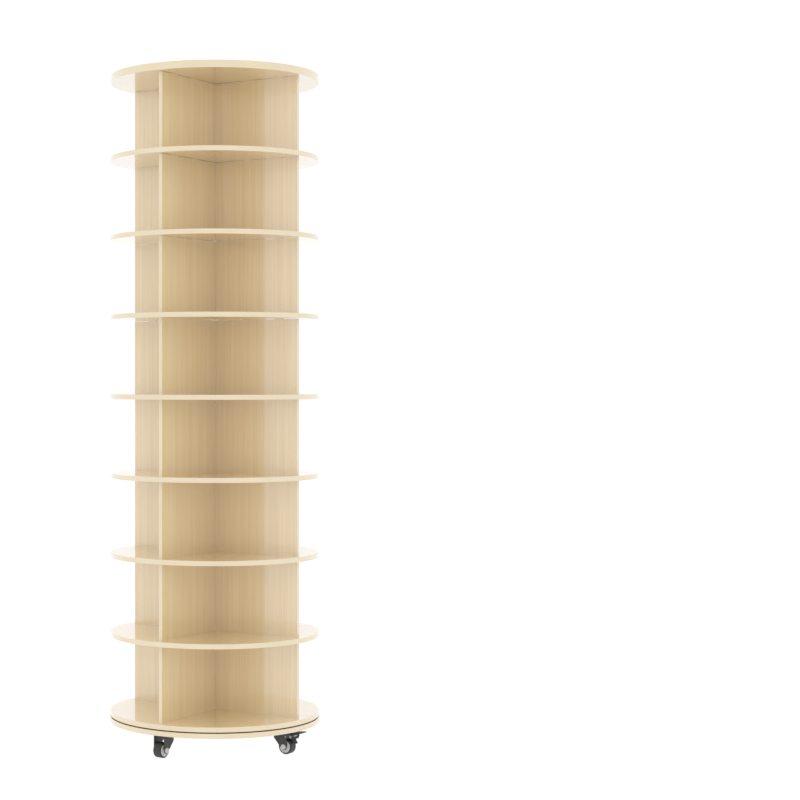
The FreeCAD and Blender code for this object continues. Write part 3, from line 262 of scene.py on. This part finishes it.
printed_grain = bpy.data.node_groups.new("printed maple grain", "ShaderNodeTree")
given, made = sockets(
    printed_grain,
    [
        ("Across", FLOAT, 0.0),
        ("Deep", FLOAT, 0.0),
        ("Along", FLOAT, 0.0),
        ("Pale", COLOUR, (0.8, 0.7, 0.5, 1.0)),
        ("Line", COLOUR, (0.6, 0.5, 0.3, 1.0)),
        ("Clearness", FLOAT, 1.0),
    ],
    [("Colour", COLOUR), ("Roughness", FLOAT), ("Height", FLOAT)],
)
sheet = put(printed_grain, "ShaderNodeCombineXYZ", -2)
join(printed_grain, given.outputs["Across"], sheet, 0)
join(printed_grain, given.outputs["Deep"], sheet, 1)
join(printed_grain, given.outputs["Along"], sheet, 2)
lines = noise(printed_grain, sheet.outputs[0], LINES_PER_METRE, detail=1.5)
streaks = noise(printed_grain, sheet.outputs[0], STREAKS_PER_METRE)
fibres = noise(printed_grain, sheet.outputs[0], FIBRES_PER_METRE, detail=1.0)
pores = noise(printed_grain, sheet.outputs[0], PORES_PER_METRE, detail=0.0)
layers = ((lines, LINE_STRENGTH), (streaks, STREAK_STRENGTH), (fibres, FIBRE_STRENGTH))
tone = 0.0
for layer, strength in layers:
    swing = calc(printed_grain, "SUBTRACT", layer, NOISE_MIDDLE)
    tone = calc(printed_grain, "MULTIPLY_ADD", swing, strength, tone)
tone = calc(printed_grain, "MULTIPLY", tone, given.outputs["Clearness"])
tone = spread(printed_grain, tone, -TONE_REACH, TONE_REACH)
grained = blend_colours(printed_grain, tone, given.outputs["Pale"], given.outputs["Line"])
pore = spread(printed_grain, pores, PORE_RIM, PORE_HEART, 0.0, PORE_DARKNESS)
clear_pore = calc(printed_grain, "MULTIPLY", pore, given.outputs["Clearness"])
grained = blend_colours(printed_grain, clear_pore, grained, given.outputs["Line"])
rough = spread(printed_grain, tone, 0.0, 1.0, MAPLE_SMOOTHEST, MAPLE_ROUGHEST)
join(printed_grain, grained, made, "Colour")
join(printed_grain, rough, made, "Roughness")
join(printed_grain, calc(printed_grain, "SUBTRACT", fibres, pore), made, "Height")


def laminate(name, turned, clearness):
    """Glossy maple laminate. The grain stands upright, or lies along X where turned."""
    material, tree, shader, position = new_material(name)
    axes = put(tree, "ShaderNodeSeparateXYZ", -1)
    join(tree, position, axes, 0)
    x, y, z = axes.outputs
    height = calc(tree, "SUBTRACT", z, LOWEST_BOARD)
    tier = calc(tree, "FLOOR", calc(tree, "DIVIDE", height, TIER_PITCH))
    across, deep, along = (y, z, x) if turned else (x, y, z)
    grain = put(tree, "ShaderNodeGroup", 4, node_tree=printed_grain)
    join(tree, calc(tree, "MULTIPLY_ADD", tier, PRINT_STEP_ACROSS, across), grain, "Across")
    join(tree, deep, grain, "Deep")
    join(tree, calc(tree, "MULTIPLY_ADD", tier, PRINT_STEP_ALONG, along), grain, "Along")
    grain.inputs["Pale"].default_value = (*MAPLE_PALE, 1.0)
    grain.inputs["Line"].default_value = (*MAPLE_LINE, 1.0)
    grain.inputs["Clearness"].default_value = clearness
    join(tree, grain.outputs["Colour"], shader, "Base Color")
    join(tree, grain.outputs["Roughness"], shader, "Roughness")
    raise_surface(tree, shader, grain.outputs["Height"], distance=0.00004, strength=0.5)
    shader.inputs["IOR"].default_value = MAPLE_IOR
    shader.inputs["Coat Weight"].default_value = 1.0
    shader.inputs["Coat Roughness"].default_value = VARNISH_ROUGHNESS
    shader.inputs["Coat IOR"].default_value = VARNISH_IOR
    return material


def dress(material, *names):
    """Gives CAD pieces a finish."""
    for name in names:
        mesh = cad[name].data
        mesh.materials.clear()
        mesh.materials.append(material)


disc_laminate = laminate("maple laminate, discs", turned=True, clearness=DISC_CLEARNESS)
dress(disc_laminate, "base_disc")


# The base disc's edge band: 1 mm of cream plastic, glued on and trimmed flush, with
# both corners rounded. Faint lines run round it, as in all extruded band.

CREAM_PALE = (0.765, 0.648, 0.448)
CREAM_DEEP = (0.71, 0.594, 0.393)
BAND_LINES_PER_METRE = 700.0
BAND_WAVES_PER_METRE = 3.0
BAND_CLOUDS_PER_METRE = (14.0, 14.0, 14.0)
BAND_LINE_SHARE = 0.5
BAND_CLOUD_SHARE = 0.5
BAND_SMOOTHEST = 0.28
BAND_ROUGHEST = 0.4
BAND_COAT_ROUGHNESS = 0.1
BAND_COAT_IOR = 1.8


def edge_band(name, upright):
    """Cream edge band, whose fine lines run round a disc, or up a board where upright."""
    material, tree, shader, position = new_material(name)
    fine, slow = BAND_LINES_PER_METRE, BAND_WAVES_PER_METRE
    lines = noise(tree, position, (fine, fine, slow) if upright else (slow, slow, fine))
    clouds = noise(tree, position, BAND_CLOUDS_PER_METRE, detail=1.0)
    line_part = calc(tree, "MULTIPLY", lines, BAND_LINE_SHARE)
    tone = calc(tree, "MULTIPLY_ADD", clouds, BAND_CLOUD_SHARE, line_part)
    cream = blend_colours(tree, spread(tree, tone, NOISE_LOW, NOISE_HIGH), CREAM_PALE, CREAM_DEEP)
    rough = spread(tree, tone, NOISE_LOW, NOISE_HIGH, BAND_SMOOTHEST, BAND_ROUGHEST)
    join(tree, cream, shader, "Base Color")
    join(tree, rough, shader, "Roughness")
    raise_surface(tree, shader, lines, distance=0.00003, strength=0.6)
    shader.inputs["Coat Weight"].default_value = 1.0
    shader.inputs["Coat Roughness"].default_value = BAND_COAT_ROUGHNESS
    shader.inputs["Coat IOR"].default_value = BAND_COAT_IOR
    return material


disc_band = edge_band("cream edge band, round the discs", upright=False)
dress(disc_band, "base_edge_band")


# The caster plates: square 2.5 mm steel, zinc plated, each pressed with a race for
# the swivel balls, and held under the base by four pan-head screws.

# Clouds of the plating bath, and the fine scratches of the barrel it tumbled in.
PLATING_CLOUDS_PER_METRE = (160.0, 160.0, 160.0)
SCRATCHES_PER_METRE = (2600.0, 300.0, 900.0)
CLOUD_SHARE = 0.6
SCRATCH_SHARE = 0.4
DULL_ADDS_ROUGHNESS = 0.14

plated_metal = bpy.data.node_groups.new("plated metal", "ShaderNodeTree")
given, made = sockets(
    plated_metal,
    [
        ("Position", PLACE, None),
        ("Bright", COLOUR, (0.8, 0.8, 0.8, 1.0)),
        ("Dull", COLOUR, (0.5, 0.5, 0.5, 1.0)),
        ("Least Roughness", FLOAT, 0.3),
    ],
    [("Colour", COLOUR), ("Roughness", FLOAT), ("Height", FLOAT)],
)
clouds = noise(plated_metal, given.outputs["Position"], PLATING_CLOUDS_PER_METRE, detail=3.0)
scratches = noise(plated_metal, given.outputs["Position"], SCRATCHES_PER_METRE, detail=1.0)
cloud_part = calc(plated_metal, "MULTIPLY", clouds, CLOUD_SHARE)
tone = calc(plated_metal, "MULTIPLY_ADD", scratches, SCRATCH_SHARE, cloud_part)
dullness = spread(plated_metal, tone, NOISE_LOW, NOISE_HIGH)
metal = blend_colours(plated_metal, dullness, given.outputs["Bright"], given.outputs["Dull"])
rough = spread(plated_metal, tone, NOISE_LOW, NOISE_HIGH, 0.0, DULL_ADDS_ROUGHNESS)
rough = calc(plated_metal, "ADD", rough, given.outputs["Least Roughness"])
join(plated_metal, metal, made, "Colour")
join(plated_metal, rough, made, "Roughness")
join(plated_metal, scratches, made, "Height")


def metal_finish(name, bright, dull, least_roughness):
    """Bare or plated metal with its clouds and scratches."""
    material, tree, shader, position = new_material(name)
    finish = put(tree, "ShaderNodeGroup", 4, node_tree=plated_metal)
    join(tree, position, finish, "Position")
    finish.inputs["Bright"].default_value = (*bright, 1.0)
    finish.inputs["Dull"].default_value = (*dull, 1.0)
    finish.inputs["Least Roughness"].default_value = least_roughness
    join(tree, finish.outputs["Colour"], shader, "Base Color")
    join(tree, finish.outputs["Roughness"], shader, "Roughness")
    shader.inputs["Metallic"].default_value = 1.0
    raise_surface(tree, shader, finish.outputs["Height"], distance=0.00003, strength=0.4)
    return material


zinc = metal_finish(
    "bright zinc plate",
    bright=(0.72, 0.73, 0.75),
    dull=(0.52, 0.53, 0.56),
    least_roughness=0.24,
)
steel = metal_finish(
    "polished bearing steel",
    bright=(0.78, 0.78, 0.78),
    dull=(0.66, 0.66, 0.67),
    least_roughness=0.1,
)
dress(zinc, "caster_plates", "caster_screws", "caster_kingpins")
dress(steel, "caster_swivel_balls")


# The caster forks: pressed steel, powder coated black. Each turns on the balls about
# its kingpin, and holds the wheel behind it.

CASTERS = (1, 2, 3, 4)

# The pebbled skin of powder coat or of a mould, over slow changes of tone.
PEBBLES_PER_METRE = (1500.0, 1500.0, 1500.0)
PATCHES_PER_METRE = (90.0, 90.0, 90.0)
PEBBLE_SHARE = 0.35
PATCH_SHARE = 0.65
SKIN_LIGHTEST = 0.32
SKIN_DARKEST = 0.68
SKIN_ROUGHNESS_SWING = 0.06

moulded_skin = bpy.data.node_groups.new("moulded skin", "ShaderNodeTree")
given, made = sockets(
    moulded_skin,
    [
        ("Position", PLACE, None),
        ("Light", COLOUR, (0.5, 0.5, 0.5, 1.0)),
        ("Dark", COLOUR, (0.4, 0.4, 0.4, 1.0)),
        ("Mean Roughness", FLOAT, 0.5),
        ("Fineness", FLOAT, 1.0),
    ],
    [("Colour", COLOUR), ("Roughness", FLOAT), ("Height", FLOAT)],
)
sized = put(moulded_skin, "ShaderNodeVectorMath", -1, operation="SCALE")
join(moulded_skin, given.outputs["Position"], sized, 0)
join(moulded_skin, given.outputs["Fineness"], sized, "Scale")
pebbles = noise(moulded_skin, sized.outputs[0], PEBBLES_PER_METRE, detail=1.0)
patches = noise(moulded_skin, given.outputs["Position"], PATCHES_PER_METRE)
patch_part = calc(moulded_skin, "MULTIPLY", patches, PATCH_SHARE)
tone = calc(moulded_skin, "MULTIPLY_ADD", pebbles, PEBBLE_SHARE, patch_part)
darkness = spread(moulded_skin, tone, SKIN_LIGHTEST, SKIN_DARKEST)
skin = blend_colours(moulded_skin, darkness, given.outputs["Light"], given.outputs["Dark"])
swing = SKIN_ROUGHNESS_SWING
rough = spread(moulded_skin, tone, NOISE_LOW, NOISE_HIGH, -swing, swing)
rough = calc(moulded_skin, "ADD", rough, given.outputs["Mean Roughness"])
join(moulded_skin, skin, made, "Colour")
join(moulded_skin, rough, made, "Roughness")
join(moulded_skin, pebbles, made, "Height")


def skin_finish(name, light, dark, roughness, relief, fineness=1.0, shine=0.5):
    """Plastic, rubber or powder coat with its pebbled skin."""
    material, tree, shader, position = new_material(name)
    finish = put(tree, "ShaderNodeGroup", 4, node_tree=moulded_skin)
    join(tree, position, finish, "Position")
    finish.inputs["Light"].default_value = (*light, 1.0)
    finish.inputs["Dark"].default_value = (*dark, 1.0)
    finish.inputs["Mean Roughness"].default_value = roughness
    finish.inputs["Fineness"].default_value = fineness
    join(tree, finish.outputs["Colour"], shader, "Base Color")
    join(tree, finish.outputs["Roughness"], shader, "Roughness")
    shader.inputs["Specular IOR Level"].default_value = shine
    raise_surface(tree, shader, finish.outputs["Height"], distance=relief)
    return material


powder_coat = skin_finish(
    "black powder coat",
    light=(0.037, 0.037, 0.039),
    dark=(0.026, 0.026, 0.028),
    roughness=0.42,
    relief=0.00003,
)
dress(powder_coat, *[f"caster_fork_{number}" for number in CASTERS])


# The axles: steel pins with wide round caps of light grey plastic pressed over the
# ends, which hide the rivet.

cap_grey = skin_finish(
    "light grey plastic",
    light=(0.54, 0.54, 0.54),
    dark=(0.48, 0.48, 0.48),
    roughness=0.36,
    relief=0.00001,
    fineness=0.8,
)
dress(cap_grey, *[f"caster_axle_{number}" for number in CASTERS])


# The wheels' hubs: hard grey plastic, moulded in one piece with rim, web and boss.
# They are a shade lighter and less glossy than the caps.

hub_grey = skin_finish(
    "hub plastic",
    light=(0.61, 0.615, 0.62),
    dark=(0.54, 0.545, 0.55),
    roughness=0.42,
    relief=0.00001,
    fineness=0.8,
)
dress(hub_grey, *[f"caster_hub_{number}" for number in CASTERS])


# The tyres: soft black rubber, cast round the hubs, with rounded shoulders.
# The rubber is duller than the forks, and its skin is coarser.

tyre_rubber = skin_finish(
    "black tyre rubber",
    light=(0.032, 0.032, 0.033),
    dark=(0.022, 0.022, 0.023),
    roughness=0.5,
    relief=0.00004,
    fineness=0.6,
)
dress(tyre_rubber, *[f"caster_tyre_{number}" for number in CASTERS])


# The brakes of the right and left casters: a black lever on a steel pin. Its pedal
# stands out past the rack's edge, and its shoe presses on the tyre.

BRAKED_CASTERS = (2, 4)

dull_steel = metal_finish(
    "dull plated steel",
    bright=(0.33, 0.34, 0.36),
    dull=(0.23, 0.24, 0.26),
    least_roughness=0.34,
)
lever_black = skin_finish(
    "black lever paint",
    light=(0.028, 0.025, 0.025),
    dark=(0.018, 0.016, 0.016),
    roughness=0.46,
    relief=0.00002,
    shine=0.25,
)
dress(dull_steel, *[f"brake_pin_{number}" for number in BRAKED_CASTERS])
dress(lever_black, *[f"brake_lever_{number}" for number in BRAKED_CASTERS])


# The brakes' return springs: zinc-plated wire, wound close on the pin in the room of
# the lever's block, whose window shows it as a bright ribbed bar. Both ends stand out
# from the coil as short straight legs.

WIRE_RADIUS = 0.0006
WIRE_SIDES = 10
COIL_RADIUS = 0.00272
COIL_PITCH = 0.00128
COIL_TURNS = 13.75
COIL_STEPS = 330
COIL_START = math.radians(225)
LEG_LENGTH = 0.005
# The round sides are made of faces with three or four corners, and flat ends have more.
LARGEST_SMOOTH_FACE = 4


def brake_place(number):
    """The middle of a brake's pin, and the angle at which the brake points outward."""
    low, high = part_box(f"brake_pin_{number}")
    pin = (low + high) / 2
    return pin, math.atan2(pin.y, pin.x)


def from_brake(point, pin, angle):
    """A point given outward, across and up from a brake's pin, as a place on the rack."""
    outward, across, up = point
    return Vector((
        pin.x + outward * math.cos(angle) - across * math.sin(angle),
        pin.y + outward * math.sin(angle) + across * math.cos(angle),
        pin.z + up,
    ))


def spring_line():
    """The middle of the spring's wire, each point outward, across and up from the pin."""
    line = []
    for step in range(COIL_STEPS + 1):
        turned = COIL_TURNS * step / COIL_STEPS
        turn = COIL_START + 2 * math.pi * turned
        across = COIL_PITCH * (turned - COIL_TURNS / 2)
        line.append((COIL_RADIUS * math.cos(turn), across, COIL_RADIUS * math.sin(turn)))
    reach = LEG_LENGTH / COIL_RADIUS
    outward, across, up = line[0]
    first_leg = (outward + up * reach, across, up - outward * reach)
    outward, across, up = line[-1]
    last_leg = (outward - up * reach, across, up + outward * reach)
    return [first_leg, *line, last_leg]


def ring_of_points(shape, centre, aside, above, radius, sides):
    """A ring about a centre, in the plane of two directions."""
    ring = []
    for step in range(sides):
        turn = 2 * math.pi * step / sides
        outward = aside * math.cos(turn) + above * math.sin(turn)
        ring.append(shape.verts.new(centre + outward * radius))
    return ring


def join_rings(shape, rings):
    """Fills the bands between neighbouring rings with faces."""
    for first, second in zip(rings, rings[1:]):
        for step in range(len(first)):
            following = (step + 1) % len(first)
            shape.faces.new((first[step], first[following], second[following], second[step]))


def finished_mesh(shape, name):
    """Makes a mesh of a shape. Its round faces are smooth, and its ends stay flat."""
    bmesh.ops.recalc_face_normals(shape, faces=shape.faces)
    for face in shape.faces:
        face.smooth = len(face.verts) <= LARGEST_SMOOTH_FACE
    mesh = bpy.data.meshes.new(name)
    shape.to_mesh(mesh)
    shape.free()
    return mesh


def wire_mesh(name, line, radius):
    """A round wire with flat ends that follows a line of points."""
    shape = bmesh.new()
    rings = []
    side = Vector((0.0, 0.0, 1.0))
    for number, point in enumerate(line):
        before = line[max(number - 1, 0)]
        after = line[min(number + 1, len(line) - 1)]
        forward = (after - before).normalized()
        side = (side - forward * side.dot(forward)).normalized()
        rings.append(ring_of_points(shape, point, side, forward.cross(side), radius, WIRE_SIDES))
    join_rings(shape, rings)
    shape.faces.new(list(reversed(rings[0])))
    shape.faces.new(rings[-1])
    return finished_mesh(shape, name)


for number in BRAKED_CASTERS:
    pin, angle = brake_place(number)
    line = [from_brake(point, pin, angle) for point in spring_line()]
    name = f"brake_spring_{number}"
    spring = bpy.data.objects.new(name, wire_mesh(name, line, WIRE_RADIUS))
    bpy.context.scene.collection.objects.link(spring)
    spring.data.materials.append(zinc)
    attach(spring, f"brake_{number}")


# The rivets of a braked fork: one shallow round head of dull plated steel on each cheek,
# above the wheel and inward of the brake's pin, pressed down flat on the coat.

RIVET_INWARD = 0.015
RIVET_DROP = 0.0009
RIVET_RADIUS = 0.0025
RIVET_RISE = 0.0011
RIVET_RINGS = 6
RIVET_SIDES = 32
FORK_HALF_WIDTH = 0.0163
CHEEKS = {"near": -1, "far": 1}


def dome_mesh(name, centre, across, radius, rise):
    """A shallow round head on a flat face, which stands out along the direction across."""
    shape = bmesh.new()
    up = Vector((0.0, 0.0, 1.0))
    along = across.cross(up)
    rings = []
    for number in range(RIVET_RINGS):
        lift = math.radians(90) * number / RIVET_RINGS
        middle = centre + across * rise * math.sin(lift)
        reach = radius * math.cos(lift)
        rings.append(ring_of_points(shape, middle, along, up, reach, RIVET_SIDES))
    join_rings(shape, rings)
    shape.faces.new(list(reversed(rings[0])))
    tip = shape.verts.new(centre + across * rise)
    last = rings[-1]
    for step in range(RIVET_SIDES):
        shape.faces.new((last[step], last[(step + 1) % RIVET_SIDES], tip))
    return finished_mesh(shape, name)


for number in BRAKED_CASTERS:
    pin, angle = brake_place(number)
    for cheek, hand in CHEEKS.items():
        centre = from_brake((-RIVET_INWARD, hand * FORK_HALF_WIDTH, -RIVET_DROP), pin, angle)
        across = Vector((-math.sin(angle), math.cos(angle), 0.0)) * hand
        name = f"fork_rivet_{number}_{cheek}"
        head = dome_mesh(name, centre, across, RIVET_RADIUS, RIVET_RISE)
        rivet = bpy.data.objects.new(name, head)
        bpy.context.scene.collection.objects.link(rivet)
        rivet.data.materials.append(dull_steel)
        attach(rivet, f"fork_{number}")


# The turntable bearing: two aluminium rings with a ring of steel balls between them
# in a white plastic cage. The outer ring is screwed to the base, the inner to the tower.

aluminium = metal_finish(
    "turned aluminium",
    bright=(0.74, 0.74, 0.75),
    dull=(0.62, 0.62, 0.64),
    least_roughness=0.28,
)
cage_plastic = skin_finish(
    "cage plastic",
    light=(0.80, 0.80, 0.78),
    dark=(0.72, 0.72, 0.70),
    roughness=0.45,
    relief=0.00001,
    fineness=0.8,
)
dress(aluminium, "bearing_outer_ring", "bearing_inner_ring")
dress(steel, "bearing_balls")
dress(cage_plastic, "bearing_ball_cage")
dress(zinc, "bearing_screws_lower", "bearing_screws_upper")


# The tower's floor and its shelves: 12 mm discs of the same laminated board, and the
# 18 mm top, each with shallow mortises for the boards' tenons.

SHELVES = range(1, 8)

dress(disc_laminate, "turning_disc", "top_disc")
dress(disc_laminate, *[f"shelf_disc_{number}" for number in SHELVES])
dress(disc_band, "disc_edge_bands")


# The upright boards: 9 mm board, two to a tier, halved into each other as a cross.
# Their laminate has the same maple print, a little clearer, with the grain upright.

TIERS = range(1, 9)
BOARD_CLEARNESS = 1.0

board_laminate = laminate(
    "maple laminate, upright boards",
    turned=False,
    clearness=BOARD_CLEARNESS,
)
dress(board_laminate, *[f"divider_front_back_{number}" for number in TIERS])
dress(board_laminate, *[f"divider_side_side_{number}" for number in TIERS])
dress(edge_band("cream edge band, up the boards", upright=True), "divider_edge_bands")


# The screws that pull each cross down on its disc: countersunk, zinc plated, driven
# from below, where the next cross hides their heads.

dress(zinc, "shelf_screws")
